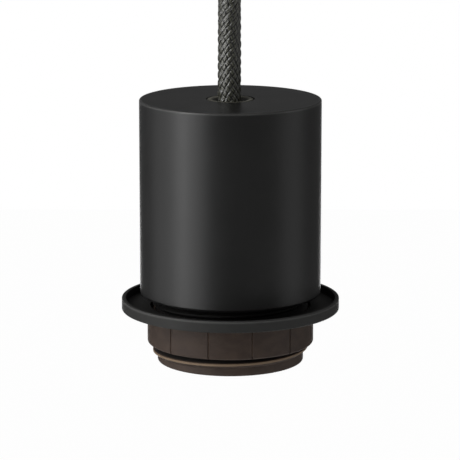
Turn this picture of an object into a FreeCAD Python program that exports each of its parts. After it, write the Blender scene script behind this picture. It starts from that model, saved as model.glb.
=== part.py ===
import FreeCAD, Part
import math
import os

import Sketcher

# A pendant lamp holder for an E27 screw lamp, hung on a cable from a small ceiling cup.
# All sizes are in millimetres. The ceiling is the plane z = 0, and the lamp hangs below it.
# Each piece is drawn in the frame of its station: the holder's starts at the top face of the
# metal cup, and the ceiling cup's starts at its lower face and is turned over.

SIZES = [
    # The cable and its three cores.
    ("core_dia", 2.1, "insulated core"),
    ("core_spacing", 0.065, "gap between two cores"),
    ("core_clear", 0.05, "gap between the cores and the sheath"),
    ("core_gap", 0.04, "gap of a core in its terminal"),
    ("core_bend", 2.0, "bends of the cores"),
    ("core_slack", 0.2, "straight core between the sheath and its first bend"),
    ("sheath_wall", 0.5, "sheath with its braid"),
    ("cable_show", 38.0, "bare cable between the two cups"),
    ("cable_tail", 1.0, "sheath past the threaded tube or the grip"),
    ("cable_gap", 0.25, "radial gap of the cable in its grip"),
    ("cable_seat", 0.02, "gap left where the grip presses the cable"),
    # The cord grip collar, used in both cups.
    ("grip_wall", 2.85, "collar's spigot, bore to outside"),
    ("grip_gap", 0.2, "radial gap of the collar in its hole"),
    ("grip_shoulder_reach", 2.35, "shoulder past the edge of the hole"),
    ("grip_shoulder_thick", 2.5, "shoulder, top to bottom"),
    ("grip_barrel_wall", 2.4, "barrel round the socket"),
    ("grip_length", 13.0, "collar, end to end"),
    ("grip_socket_depth", 5.0, "socket for the threaded tube"),
    ("grip_mouth_round", 2.2, "rounded mouth round the cable"),
    ("grip_rim_round", 0.35, "round on the collar's rim"),
    ("grip_screw_dia", 3.0, "grip screw"),
    ("grip_screw_sunk", 0.3, "grip screw below the barrel's face"),
    # The threaded tube, its nut and the earth tag.
    ("tube_bore_gap", 0.65, "cable to the bore of the threaded tube"),
    ("tube_wall", 1.5, "wall of the threaded tube"),
    ("tube_gap", 0.1, "radial gap of the tube in its holes"),
    ("tube_end_gap", 0.3, "gap over the tube in the collar"),
    ("tube_past_nut", 0.8, "tube past the lock nut"),
    ("nut_wall", 1.9, "lock nut, from its hole to a flat"),
    ("nut_thick", 2.5, "lock nut"),
    ("tag_thick", 0.6, "earth tag"),
    ("tag_ring_width", 2.4, "ring of the earth tag"),
    ("tag_width", 5.0, "tongue of the earth tag"),
    ("tag_past_screw", 2.5, "tongue past the middle of its screw"),
    ("earth_screw_dia", 3.0, "earth screw"),
    ("earth_head_dia", 5.4, "earth screw, head"),
    ("earth_screw_clear", 0.3, "earth screw's head to the lock nut"),
    ("earth_screw_grip", 1.4, "earth screw in the cap"),
    # The E27 thread sleeve, the smallest ring of the moulded holder.
    ("sleeve_bore_dia", 26.8, "sleeve inside, at the thread's root"),
    ("sleeve_thread_depth", 1.15, "sleeve's thread"),
    ("sleeve_wall", 0.5, "sheet of the sleeve"),
    ("sleeve_length", 20.0, "sleeve"),
    ("sleeve_lip", 4.0, "lip under the block"),
    ("sleeve_pitch", 3.629, "sleeve's thread"),
    ("sleeve_ridge", 2.6, "width of the sleeve's ridge at its foot"),
    ("sleeve_land", 0.9, "width of the sleeve's ridge at its crest"),
    ("sleeve_mouth", 2.4, "plain mouth of the sleeve"),
    ("mouth_widening", 0.6, "mouth past the thread's root, radial"),
    ("mouth_margin", 0.5, "mouth to the thread's first turn"),
    ("sleeve_turns", 3.5, "turns of the sleeve's thread"),
    ("rivet_dia", 2.0, "rivets of the sleeve"),
    ("rivet_in_terminal", 1.6, "rivet in the neutral terminal"),
    ("rivet_head_dia", 3.4, "rivets of the sleeve, heads"),
    ("rivet_head_height", 0.6, "rivets of the sleeve, heads"),
    # The shell round the sleeve.
    ("ledge_gap", 0.7, "sleeve to the ledge under the block"),
    ("ledge_reach", 1.9, "ledge, inward from the shell's bore"),
    ("ledge_thick", 1.5, "edge of the ledge"),
    ("shell_wall", 2.12, "wall of the shell under its thread"),
    ("shell_bottom", 67.3, "top of the metal cup to the shell's lower end"),
    ("collar_reach", 1.18, "collar, outward from the shell's core"),
    ("collar_height", 2.5, "collar under the cap"),
    ("spigot_height", 5.0, "spigot inside the cap"),
    ("spigot_gap", 0.2, "radial gap of the spigot"),
    ("shell_rim_round", 0.4, "round on the shell's lower edge"),
    ("shell_mouth_round", 0.8, "round on the shell's mouth"),
    # The holder's cap.
    ("cap_wall", 2.0, "cap wall and roof"),
    ("cap_neck_wall", 3.1, "neck of the cap, round the tube"),
    ("cap_neck_height", 2.5, "neck above the roof"),
    ("cap_skirt", 20.5, "cap from its roof to its lower edge"),
    ("cap_shoulder_round", 8.0, "outside round of the cap"),
    ("cap_inner_round", 5.0, "inside round of the cap"),
    # The outside thread, 40 mm across by 2.5 mm, and the rings on it.
    ("thread_depth", 1.2, "outside thread"),
    ("thread_pitch", 2.5, "outside thread"),
    ("thread_base", 2.2, "width of the ridge at its foot"),
    ("thread_land", 0.44, "width of the ridge at its crest"),
    ("thread_rim", 0.85, "plain rim below the thread"),
    ("thread_length", 15.0, "climb of the ridge"),
    ("thread_gap", 0.2, "gap in the threads, radial and along the axis"),
    ("ring_wall", 1.16, "fluted ring outside its thread"),
    ("ring_height", 8.6, "fluted ring"),
    ("ring_edge_round", 0.5, "round on the ring's lower edge"),
    ("flute_count", 12.0, "grooves round the ring"),
    ("flute_width", 0.5, "groove, at the ring's face"),
    ("flute_depth", 0.3, "groove"),
    ("dish_hole_gap", 0.63, "dished ring round the thread's crest"),
    ("dish_width", 7.25, "dished ring, hole to outside"),
    ("dish_height", 2.9, "dished ring"),
    ("dish_floor", 0.95, "floor of the dished ring"),
    ("dish_rim_wall", 1.0, "rim of the dished ring"),
    ("dish_edge_round", 0.2, "round on the dished ring's edges"),
    # The metal cup.
    ("cup_gap", 2.0, "holder to the inside of the metal cup"),
    ("cup_wall", 1.2, "wall of the metal cup"),
    ("cup_height", 50.0, "height of the metal cup"),
    ("cup_top", 1.5, "top plate of both cups"),
    ("cup_to_dish", 1.0, "metal cup's lower edge to the dished ring"),
    ("cup_edge_round", 0.4, "round on the closed edge of both cups"),
    ("cup_mouth_round", 0.8, "round on the metal cup's open edge"),
    # The contact block and what it carries.
    ("block_top", 33.0, "top of the metal cup to the block's top"),
    ("block_thick", 9.0, "contact block"),
    ("block_gap", 0.4, "radial gap of the block in the shell"),
    ("pocket_depth", 1.2, "pocket of a terminal"),
    ("pocket_gap", 0.1, "gap round a terminal in its pocket"),
    ("terminal_width", 7.0, "terminal, across its reach"),
    ("terminal_length", 6.0, "terminal, along its reach"),
    ("terminal_height", 7.2, "terminal"),
    ("terminal_past_rivet", 1.4, "rivet past the middle of its terminal"),
    ("strap_thick", 0.6, "strap of the live terminal"),
    ("wire_hole_depth", 5.0, "wire hole of a terminal"),
    ("clamp_screw_dia", 2.5, "clamp screws"),
    ("clamp_head_dia", 4.0, "clamp screws, head"),
    ("clamp_head_height", 1.2, "clamp screws, head"),
    ("clamp_sunk", 0.4, "clamp screws below the connector block's face"),
    ("screw_gap", 0.05, "radial gap of a screw in its hole"),
    # The sprung centre contact.
    ("pin_dia", 4.0, "stem of the centre contact"),
    ("pin_gap", 0.08, "running gap of the stem"),
    ("pin_flange_dia", 6.2, "top flange of the centre contact"),
    ("pin_flange_thick", 0.8, "top flange of the centre contact"),
    ("button_dia", 7.0, "head of the centre contact"),
    ("button_thick", 1.4, "head of the centre contact"),
    ("button_round", 0.6, "round on the contact face"),
    ("spring_height", 3.6, "spring at rest"),
    ("spring_gap", 0.5, "stem to the inside of the spring"),
    ("spring_wire", 0.5, "spring wire"),
    ("spring_turns", 3.0, "spring"),
    # The ceiling fitting.
    ("ceiling_cup_dia", 60.0, "outside of the ceiling cup"),
    ("ceiling_cup_height", 22.0, "height of the ceiling cup"),
    ("ceiling_cup_wall", 1.2, "wall of the ceiling cup"),
    ("bracket_thick", 1.5, "bracket"),
    ("bracket_width", 14.0, "bracket"),
    ("bracket_gap", 0.3, "bracket to the ceiling cup"),
    ("ear_past_screw", 3.5, "ear below the middle of its screw"),
    ("side_screw_dia", 4.0, "side screws"),
    ("side_hole_gap", 0.15, "radial gap of a side screw in the ceiling cup"),
    ("side_screw_drop", 5.5, "side screws below the ceiling"),
    ("side_screw_length", 6.0, "side screws under the head"),
    ("side_head_dia", 7.0, "side screws, head"),
    ("side_head_height", 2.0, "side screws, head"),
    ("slot_width", 0.9, "slots of the screws"),
    ("slot_depth", 0.9, "slots of the screws"),
    ("ceiling_hole_dia", 4.4, "ceiling screw holes"),
    ("ceiling_hole_pitch", 32.0, "ceiling screw holes, apart"),
    ("wing_margin", 0.5, "wing past the sides of the connector block"),
    ("wing_past_block", 1.8, "wing past the end of the connector block"),
    ("connector_near", 8.2, "axis to the connector block"),
    ("connector_depth", 10.0, "connector block, along the wires"),
    ("connector_width", 18.0, "connector block, across the wires"),
    ("connector_height", 9.0, "connector block"),
    ("connector_pitch", 6.0, "ways of the connector block"),
    ("connector_way_drop", 3.6, "ways, below the block's top"),
    ("connector_bolt_dia", 2.4, "fixing screws of the connector block"),
]

HEX_CORNER = 1 / math.cos(math.radians(30))
ROOT_THREE = math.sqrt(3)

doc = FreeCAD.newDocument("lamp_holder")


# ---- sizes that remember their sheet cells ----


class Size:
    """A number and the sheet expression that it comes from."""

    def __init__(self, value, text):
        self.value = value
        self.text = text

    def __add__(self, other):
        return Size(self.value + number(other), f"({self.text} + {words(other)})")

    def __radd__(self, other):
        return Size(number(other) + self.value, f"({words(other)} + {self.text})")

    def __sub__(self, other):
        return Size(self.value - number(other), f"({self.text} - {words(other)})")

    def __rsub__(self, other):
        return Size(number(other) - self.value, f"({words(other)} - {self.text})")

    def __mul__(self, other):
        return Size(self.value * number(other), f"({self.text} * {words(other)})")

    def __rmul__(self, other):
        return Size(number(other) * self.value, f"({words(other)} * {self.text})")

    def __truediv__(self, other):
        return Size(self.value / number(other), f"({self.text} / {words(other)})")

    def __rtruediv__(self, other):
        return Size(number(other) / self.value, f"({words(other)} / {self.text})")

    def __neg__(self):
        return Size(-self.value, f"(0 - {self.text})")


def number(size):
    return size.value if isinstance(size, Size) else float(size)


def words(size):
    return size.text if isinstance(size, Size) else repr(float(size))


def fill_sheet():
    """Writes the driving sizes to the sheet and returns them by name."""
    sheet = doc.addObject("Spreadsheet::Sheet", "Sizes")
    found = {}
    for row, (name, value, note) in enumerate(SIZES, 1):
        sheet.set(f"A{row}", name)
        sheet.set(f"B{row}", str(value))
        sheet.set(f"C{row}", note)
        sheet.setAlias(f"B{row}", name)
        found[name] = Size(value, f"Sizes.{name}")
    doc.recompute()
    return found


class Named:
    """The driving sizes as attributes."""

    def __init__(self, sizes):
        self.__dict__.update(sizes)


size = Named(fill_sheet())


# ---- small helpers for bodies and sketches ----


def vector(x, y, z=0):
    return FreeCAD.Vector(number(x), number(y), number(z))


def new_body(label):
    body = doc.addObject("PartDesign::Body", label)
    body.Label = label
    body.AllowCompound = True
    return body


def origin_part(body, role):
    return [part for part in body.Origin.OriginFeatures if part.Role == role][0]


def new_sketch(body, name, plane, rise=0, turn=0):
    """Adds a sketch on one of a body's planes, moved along and turned about its normal."""
    sketch = body.newObject("Sketcher::SketchObject", name)
    sketch.AttachmentSupport = [(origin_part(body, plane), "")]
    sketch.MapMode = "FlatFace"
    turned = FreeCAD.Rotation(vector(0, 0, 1), number(turn))
    sketch.AttachmentOffset = FreeCAD.Placement(vector(0, 0, rise), turned)
    if isinstance(rise, Size):
        sketch.setExpression("AttachmentOffset.Base.z", rise.text)
    if isinstance(turn, Size):
        sketch.setExpression("AttachmentOffset.Rotation.Angle", turn.text)
    return sketch


def tie(sketch, kind, places, value):
    """Adds one dimension to a sketch and binds it to its size."""
    index = sketch.addConstraint(Sketcher.Constraint(kind, *places, number(value)))
    if isinstance(value, Size):
        sketch.setExpression(f"Constraints[{index}]", value.text)


def pin_point(sketch, edge, end, point):
    """Holds a point of a sketch at its x and y, or on an axis (-2 upright, -1 level) where it is 0."""
    for kind, axis, value in (("DistanceX", -2, point[0]), ("DistanceY", -1, point[1])):
        if isinstance(value, Size):
            tie(sketch, kind, (-1, 1, edge, end), value)
        else:
            sketch.addConstraint(Sketcher.Constraint("PointOnObject", edge, end, axis))


def draw_outline(sketch, points):
    """Draws a closed outline of straight lines through points."""
    first = sketch.GeometryCount
    corners = [vector(*point) for point in points]
    for start, end in zip(corners, corners[1:] + corners[:1]):
        sketch.addGeometry(Part.LineSegment(start, end), False)
    count = len(points)
    for step, point in enumerate(points):
        edge = first + step
        following = first + (step + 1) % count
        sketch.addConstraint(Sketcher.Constraint("Coincident", edge, 2, following, 1))
        pin_point(sketch, edge, 1, point)


def draw_circle(sketch, centre, radius):
    edge = sketch.addGeometry(Part.Circle(vector(*centre), vector(0, 0, 1), number(radius)), False)
    tie(sketch, "Radius", (edge,), radius)
    pin_point(sketch, edge, 3, centre)


def draw_hexagon(sketch, flat):
    """Draws a hexagon from the distance of its flats from the middle."""
    corner = flat * HEX_CORNER
    half = corner / 2
    draw_outline(
        sketch, [(corner, 0), (half, flat), (-half, flat), (-corner, 0), (-half, -flat), (half, -flat)]
    )


def draw_box(sketch, low, high):
    draw_outline(sketch, [low, (high[0], low[1]), high, (low[0], high[1])])


def solid_volume(feature):
    return feature.Shape.Volume if feature is not None else 0.0


def feature_of(body, kind, name, sketch, **settings):
    """Adds a feature made from a sketch, and makes sure that it added or cut something."""
    base = body.Tip
    feature = body.newObject(kind, name)
    feature.Profile = sketch
    for key, value in settings.items():
        if isinstance(value, Size):
            setattr(feature, key, value.value)
            feature.setExpression(key, value.text)
        else:
            setattr(feature, key, value)
    doc.recompute()
    before = solid_volume(base)
    if abs(solid_volume(feature) - before) < 1e-6:
        raise RuntimeError(f"{body.Label}: {name} changes nothing")
    return feature


def turned(body, name, points, kind="PartDesign::Revolution"):
    """Turns an outline of (radius, height) points about the body's upright axis."""
    sketch = new_sketch(body, name + "_outline", "XZ_Plane")
    draw_outline(sketch, points)
    return feature_of(body, kind, name, sketch, ReferenceAxis=(sketch, ["V_Axis"]), Angle=360.0)


def turned_along(body, name, points, height):
    """Turns an outline of (x, distance from the line) points about a level line at a height."""
    sketch = new_sketch(body, name + "_outline", "XZ_Plane")
    draw_outline(sketch, [(x, height + away) for x, away in points])
    line = sketch.addGeometry(Part.LineSegment(vector(0, height), vector(points[0][0], height)), True)
    sketch.addConstraint(Sketcher.Constraint("Horizontal", line))
    pin_point(sketch, line, 1, (0, height))
    return feature_of(
        body, "PartDesign::Revolution", name, sketch, ReferenceAxis=(sketch, ["Axis0"]), Angle=360.0
    )


def padded(body, name, sketch, length, **settings):
    return feature_of(body, "PartDesign::Pad", name, sketch, Length=length, **settings)


def pocketed(body, name, sketch, length, **settings):
    return feature_of(body, "PartDesign::Pocket", name, sketch, Length=length, **settings)


def bored(body, name, centres, radius, top, depth):
    """Cuts upright round holes from a height downwards."""
    sketch = new_sketch(body, name + "_circles", "XY_Plane", top)
    for centre in centres:
        draw_circle(sketch, centre, radius)
    return pocketed(body, name, sketch, depth)


def add_round_bars(body, name, centres, radius, low, length):
    """Upright round bars that stand on a height."""
    sketch = new_sketch(body, name + "_circles", "XY_Plane", low)
    for centre in centres:
        draw_circle(sketch, centre, radius)
    padded(body, name, sketch, length)


def threaded(body, name, outline, pitch, climb, kind="PartDesign::AdditiveHelix"):
    """Sweeps an outline of (radius, height) points up a right-hand helix, from the back."""
    sketch = new_sketch(body, name + "_outline", "YZ_Plane")
    draw_outline(sketch, outline)
    return feature_of(
        body,
        kind,
        name,
        sketch,
        ReferenceAxis=(sketch, ["V_Axis"]),
        Mode="pitch-height-angle",
        Pitch=pitch,
        Height=climb,
        LeftHanded=False,
        Reversed=False,
    )


def repeated_round(body, name, features, count):
    """Repeats features round the body's upright axis."""
    pattern = body.newObject("PartDesign::PolarPattern", name)
    pattern.Originals = features
    pattern.Axis = (origin_part(body, "Z_Axis"), [""])
    pattern.Angle = 360.0
    pattern.Occurrences = int(round(number(count)))
    if isinstance(count, Size):
        pattern.setExpression("Occurrences", count.text)
    body.Tip = pattern
    doc.recompute()
    return pattern


def rings_at(body, *places):
    """The names of a body's round edges about its upright axis, given as (radius, height)."""
    wanted = [(number(radius), number(height)) for radius, height in places]
    names = []
    for index, edge in enumerate(body.Tip.Shape.Edges, 1):
        if not isinstance(edge.Curve, Part.Circle):
            continue
        centre = edge.Curve.Center
        if math.hypot(centre.x, centre.y) > 1e-4:
            continue
        if any(abs(edge.Curve.Radius - r) < 1e-4 and abs(centre.z - h) < 1e-4 for r, h in wanted):
            names.append(f"Edge{index}")
    if len(names) < len(wanted):
        raise RuntimeError(f"{body.Label}: an edge to round is missing")
    return names


def rounded(body, name, radius, *places):
    """Rounds edges about the upright axis."""
    base = body.Tip
    names = rings_at(body, *places)
    feature = body.newObject("PartDesign::Fillet", name)
    feature.Base = (base, names)
    feature.Radius = number(radius)
    feature.setExpression("Radius", radius.text)
    doc.recompute()
    return feature


# ---- the two stations ----

CEILING_CUP_FACE = -size.ceiling_cup_height
HOLDER_TOP = CEILING_CUP_FACE - size.cable_show


def hang(body, height, turned_over=False):
    """Places a body in its station: at a height, and turned over under the ceiling."""
    flip = FreeCAD.Rotation(vector(1, 0, 0), 180.0 if turned_over else 0.0)
    body.Placement = FreeCAD.Placement(vector(0, 0, height), flip)
    body.setExpression("Placement.Base.z", height.text)
    return body


# ---- radii, from the cable outward and from the sleeve outward ----

core_radius = size.core_dia / 2
core_offset = (size.core_dia + size.core_spacing) / ROOT_THREE
sheath_bore = core_offset + core_radius + size.core_clear
cable_radius = sheath_bore + size.sheath_wall
cable_offset = size.cable_seat - size.cable_gap
grip_bore = cable_radius + size.cable_gap
grip_spigot = grip_bore + size.grip_wall
grip_hole = grip_spigot + size.grip_gap
tube_bore = cable_radius + size.tube_bore_gap
tube_radius = tube_bore + size.tube_wall
tube_hole = tube_radius + size.tube_gap
grip_barrel = tube_hole + size.grip_barrel_wall

sleeve_bore = size.sleeve_bore_dia / 2
sleeve_outer = sleeve_bore + size.sleeve_wall
ledge_radius = sleeve_outer + size.ledge_gap
shell_bore = ledge_radius + size.ledge_reach
shell_core = shell_bore + size.shell_wall
thread_crest = shell_core + size.thread_depth
cap_radius = shell_core + size.collar_reach
cap_inner = cap_radius - size.cap_wall
cup_radius = cap_radius + size.cup_gap + size.cup_wall


# ---- the cups and the cord grips ----


def make_cup(label, outer, height, wall):
    """A drawn cup, closed at the top, with the hole of the cord grip."""
    body = new_body(label)
    inner = outer - wall
    turned(
        body,
        "drawn_cup",
        [
            (grip_hole, 0),
            (outer, 0),
            (outer, -height),
            (inner, -height),
            (inner, -size.cup_top),
            (grip_hole, -size.cup_top),
        ],
    )
    rounded(body, "closed_edge", size.cup_edge_round, (outer, 0))
    return body


def make_metal_cup():
    body = make_cup("metal_cup", cup_radius, size.cup_height, size.cup_wall)
    rounded(body, "open_edge", size.cup_mouth_round, (cup_radius, -size.cup_height))
    return body


def make_ceiling_cup():
    """The ceiling cup, with two holes in its wall for the side screws."""
    body = make_cup("ceiling_cup", size.ceiling_cup_dia / 2, size.ceiling_cup_height, size.ceiling_cup_wall)
    sketch = new_sketch(body, "side_hole_circle", "YZ_Plane", -size.ceiling_cup_dia)
    height = size.side_screw_drop - size.ceiling_cup_height
    draw_circle(sketch, (0, height), size.side_screw_dia / 2 + size.side_hole_gap)
    pocketed(body, "side_holes", sketch, size.ceiling_cup_dia * 2, Reversed=True)
    return body


shoulder_foot = -size.cup_top - size.grip_shoulder_thick
socket_top = size.grip_socket_depth - size.grip_length
grip_screw_height = (shoulder_foot + socket_top) / 2


def make_grip_collar(label):
    """The collar that passes up through a cup's hole and rests its shoulder under the plate."""
    body = new_body(label)
    shoulder = grip_hole + size.grip_shoulder_reach
    turned(
        body,
        "collar",
        [
            (grip_bore, 0),
            (grip_spigot, 0),
            (grip_spigot, -size.cup_top),
            (shoulder, -size.cup_top),
            (shoulder, shoulder_foot),
            (grip_barrel, shoulder_foot),
            (grip_barrel, -size.grip_length),
            (tube_hole, -size.grip_length),
            (tube_hole, socket_top),
            (grip_bore, socket_top),
        ],
    )
    rounded(body, "mouth", size.grip_mouth_round, (grip_bore, 0))
    rounded(body, "rim", size.grip_rim_round, (grip_spigot, 0))
    sketch = new_sketch(body, "screw_hole_circle", "YZ_Plane")
    draw_circle(sketch, (0, grip_screw_height), size.grip_screw_dia / 2 + size.screw_gap)
    pocketed(body, "screw_hole", sketch, grip_barrel, Reversed=True)
    return body


def make_grip_screw(label):
    """The headless screw that presses the cable against its collar."""
    body = new_body(label)
    tip = cable_radius + cable_offset + size.cable_seat
    tail = grip_barrel - size.grip_screw_sunk
    radius = size.grip_screw_dia / 2
    turned_along(body, "shank", [(tip, 0), (tail, 0), (tail, radius), (tip, radius)], grip_screw_height)
    sketch = new_sketch(body, "slot_outline", "YZ_Plane", tail)
    low = (-radius * 2, grip_screw_height - size.slot_width / 2)
    draw_box(sketch, low, (radius * 2, grip_screw_height + size.slot_width / 2))
    pocketed(body, "slot", sketch, size.slot_depth)
    return body


# ---- the tube, its nut and the earth ----

nut_flat = tube_hole + size.nut_wall
tag_ring = tube_hole + size.tag_ring_width
earth_screw_reach = nut_flat + size.earth_screw_clear + size.earth_head_dia / 2
earth_hole = size.earth_screw_dia / 2 + size.screw_gap
tube_top = socket_top - size.tube_end_gap
roof_top = -size.grip_length - size.cap_neck_height
roof_under = roof_top - size.cap_wall
tag_under = roof_under - size.tag_thick
nut_under = tag_under - size.nut_thick
tube_end = nut_under - size.tube_past_nut
cable_end = tube_end - size.cable_tail


def make_threaded_tube():
    body = new_body("threaded_tube")
    turned(
        body,
        "tube",
        [(tube_bore, tube_end), (tube_radius, tube_end), (tube_radius, tube_top), (tube_bore, tube_top)],
    )
    return body


def make_lock_nut():
    body = new_body("lock_nut")
    sketch = new_sketch(body, "hexagon", "XY_Plane", nut_under)
    draw_hexagon(sketch, nut_flat)
    draw_circle(sketch, (0, 0), tube_hole)
    padded(body, "nut", sketch, size.nut_thick)
    return body


def make_earth_tag():
    """A ring under the cap's roof with a tongue for the earth screw."""
    body = new_body("earth_tag")
    sketch = new_sketch(body, "ring_outline", "XY_Plane", tag_under)
    draw_circle(sketch, (0, 0), tag_ring)
    padded(body, "ring", sketch, size.tag_thick)
    sketch = new_sketch(body, "tongue_outline", "XY_Plane", tag_under)
    half = size.tag_width / 2
    draw_box(sketch, (-half, -earth_screw_reach - size.tag_past_screw), (half, 0))
    padded(body, "tongue", sketch, size.tag_thick)
    bored(body, "tube_hole", [(0, 0)], tube_hole, roof_under, size.tag_thick)
    bored(body, "screw_hole", [(0, -earth_screw_reach)], earth_hole, roof_under, size.tag_thick)
    return body


def make_earth_screw():
    body = new_body("earth_screw")
    centre = [(0, -earth_screw_reach)]
    head = size.clamp_head_height
    shank = size.tag_thick + size.earth_screw_grip
    add_round_bars(body, "head", centre, size.earth_head_dia / 2, tag_under - head, head)
    add_round_bars(body, "shank", centre, size.earth_screw_dia / 2, tag_under, shank)
    return body


# ---- the moulded holder ----

cap_foot = roof_top - size.cap_skirt
block_under = -size.block_top - size.block_thick
block_radius = shell_bore - size.block_gap
thread_start = size.thread_rim + size.thread_base / 2 - size.shell_bottom
dish_hole = thread_crest + size.dish_hole_gap
ring_top = -size.cup_height - size.cup_to_dish - size.dish_height


def make_holder_cap():
    """The domed cap with its neck, which the tube clamps under the grip collar."""
    body = new_body("holder_cap")
    neck = tube_hole + size.cap_neck_wall
    turned(
        body,
        "cap",
        [
            (tube_hole, -size.grip_length),
            (neck, -size.grip_length),
            (neck, roof_top),
            (cap_radius, roof_top),
            (cap_radius, cap_foot),
            (cap_inner, cap_foot),
            (cap_inner, roof_under),
            (tube_hole, roof_under),
        ],
    )
    rounded(body, "shoulder", size.cap_shoulder_round, (cap_radius, roof_top))
    rounded(body, "inside", size.cap_inner_round, (cap_inner, roof_under))
    sketch = new_sketch(body, "screw_hole_circle", "XY_Plane", roof_under)
    draw_circle(sketch, (0, -earth_screw_reach), earth_hole)
    pocketed(body, "screw_hole", sketch, size.earth_screw_grip + size.screw_gap, Reversed=True)
    return body


def ridge(foot, crest, half_foot, half_crest, sunk, middle):
    """The outline of a thread's ridge from its foot radius to its crest radius."""
    return [
        (foot - sunk, middle - half_foot),
        (foot, middle - half_foot),
        (crest, middle - half_crest),
        (crest, middle + half_crest),
        (foot, middle + half_foot),
        (foot - sunk, middle + half_foot),
    ]


def make_outer_shell():
    """The threaded shell: spigot, collar, core, outside thread and the ledge for the block."""
    body = new_body("outer_shell")
    spigot = cap_inner - size.spigot_gap
    spigot_top = cap_foot + size.spigot_height
    collar_foot = cap_foot - size.collar_height
    ledge_foot = block_under - size.ledge_thick
    slope_foot = ledge_foot - size.ledge_reach
    turned(
        body,
        "shell",
        [
            (shell_bore, spigot_top),
            (spigot, spigot_top),
            (spigot, cap_foot),
            (cap_radius, cap_foot),
            (cap_radius, collar_foot),
            (shell_core, collar_foot),
            (shell_core, -size.shell_bottom),
            (shell_bore, -size.shell_bottom),
            (shell_bore, slope_foot),
            (ledge_radius, ledge_foot),
            (ledge_radius, block_under),
            (shell_bore, block_under),
        ],
    )
    rounded(body, "lower_edge", size.shell_rim_round, (shell_core, -size.shell_bottom))
    rounded(body, "mouth", size.shell_mouth_round, (shell_bore, -size.shell_bottom))
    half_foot = size.thread_base / 2
    half_crest = size.thread_land / 2
    outline = ridge(shell_core, thread_crest, half_foot, half_crest, size.thread_gap, thread_start)
    threaded(body, "outside_thread", outline, size.thread_pitch, size.thread_length)
    return body


def make_fluted_ring():
    """The screwed ring, with its inside thread and narrow grooves round its face."""
    body = new_body("shade_ring")
    bore = shell_core + size.thread_gap
    root = thread_crest + size.thread_gap
    outer = root + size.ring_wall
    foot = ring_top - size.ring_height
    turned(body, "ring", [(bore, foot), (outer, foot), (outer, ring_top), (bore, ring_top)])
    rounded(body, "lower_edge", size.ring_edge_round, (outer, foot))
    sketch = new_sketch(body, "flute_outline", "XY_Plane", ring_top, 180 / size.flute_count)
    deep = outer - size.flute_depth
    clear = outer + size.flute_depth
    draw_outline(sketch, [(deep, 0), (clear, size.flute_width), (clear, -size.flute_width)])
    flute = pocketed(body, "flute", sketch, size.ring_height)
    repeated_round(body, "flutes", [flute], size.flute_count)
    slope = (size.thread_base - size.thread_land) / 2 / size.thread_depth
    widening = size.thread_gap - slope * size.thread_gap
    half_foot = size.thread_base / 2 + widening
    half_root = size.thread_land / 2 + widening
    outline = ridge(bore, root, half_foot, half_root, size.thread_gap, thread_start)
    cut = "PartDesign::SubtractiveHelix"
    threaded(body, "inside_thread", outline, size.thread_pitch, size.thread_length, cut)
    return body


def make_dished_ring():
    """The loose dished ring that rests on the fluted ring."""
    body = new_body("dished_ring")
    outer = dish_hole + size.dish_width
    rim = outer - size.dish_rim_wall
    top = ring_top + size.dish_height
    floor = ring_top + size.dish_floor
    outside = [(outer, ring_top), (outer, top)]
    turned(body, "dish", [(dish_hole, ring_top), *outside, (rim, top), (rim, floor), (dish_hole, floor)])
    rounded(body, "edges", size.dish_edge_round, *outside)
    return body


# ---- the contact block, its terminals and the sleeve ----

pin_bore = size.pin_dia / 2 + size.pin_gap
pocket_floor = -size.block_top - size.pocket_depth
rivet_reach = sleeve_bore - size.sleeve_lip / 2
terminal_rivet = (-rivet_reach, 0)
rivet_side = rivet_reach * ROOT_THREE / 2
other_rivets = [(rivet_reach / 2, rivet_side), (rivet_reach / 2, -rivet_side)]
all_rivets = [terminal_rivet] + other_rivets
rivet_hole = size.rivet_dia / 2 + size.screw_gap
terminal_half = size.terminal_length / 2
terminal_reach = rivet_reach - size.terminal_past_rivet
terminal_out = terminal_reach + terminal_half
clamp_height = pocket_floor + size.terminal_height - size.clamp_head_dia / 2


def make_contact_block():
    """The block in the shell, with a pocket for each terminal and a bore for the contact."""
    body = new_body("contact_block")
    top = -size.block_top
    turned(
        body,
        "block",
        [(pin_bore, block_under), (block_radius, block_under), (block_radius, top), (pin_bore, top)],
    )
    half = size.terminal_width / 2 + size.pocket_gap
    sketch = new_sketch(body, "live_outline", "XY_Plane", top)
    draw_box(sketch, (-half, -half), (terminal_out + size.pocket_gap, half))
    pocketed(body, "live_pocket", sketch, size.pocket_depth)
    sketch = new_sketch(body, "neutral_outline", "XY_Plane", top)
    near = terminal_half - terminal_reach + size.pocket_gap
    draw_box(sketch, (-terminal_out - size.pocket_gap, -half), (near, half))
    pocketed(body, "neutral_pocket", sketch, size.pocket_depth)
    bored(body, "rivet_holes", all_rivets, rivet_hole, top, size.block_thick)
    return body


def add_terminal_block(body, middle):
    """The brass block of a terminal with its wire hole and its clamp screw's hole."""
    half = size.terminal_width / 2
    sketch = new_sketch(body, "foot", "XY_Plane", pocket_floor)
    draw_box(sketch, (middle - terminal_half, -half), (middle + terminal_half, half))
    padded(body, "block", sketch, size.terminal_height)
    top = pocket_floor + size.terminal_height
    bored(body, "wire_hole", [(middle, 0)], core_radius + size.core_gap, top, size.wire_hole_depth)
    sketch = new_sketch(body, "screw_hole_circle", "XZ_Plane")
    draw_circle(sketch, (middle, clamp_height), size.clamp_screw_dia / 2 + size.screw_gap)
    pocketed(body, "screw_hole", sketch, half, Reversed=True)


def make_live_terminal():
    """The live terminal, whose strap runs under its block to the centre contact."""
    body = new_body("live_terminal")
    half = size.terminal_width / 2
    sketch = new_sketch(body, "strap_outline", "XY_Plane", pocket_floor)
    draw_box(sketch, (-half, -half), (terminal_reach, half))
    padded(body, "strap", sketch, size.strap_thick)
    bored(body, "pin_hole", [(0, 0)], pin_bore, pocket_floor + size.strap_thick, size.strap_thick)
    add_terminal_block(body, terminal_reach)
    return body


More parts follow.
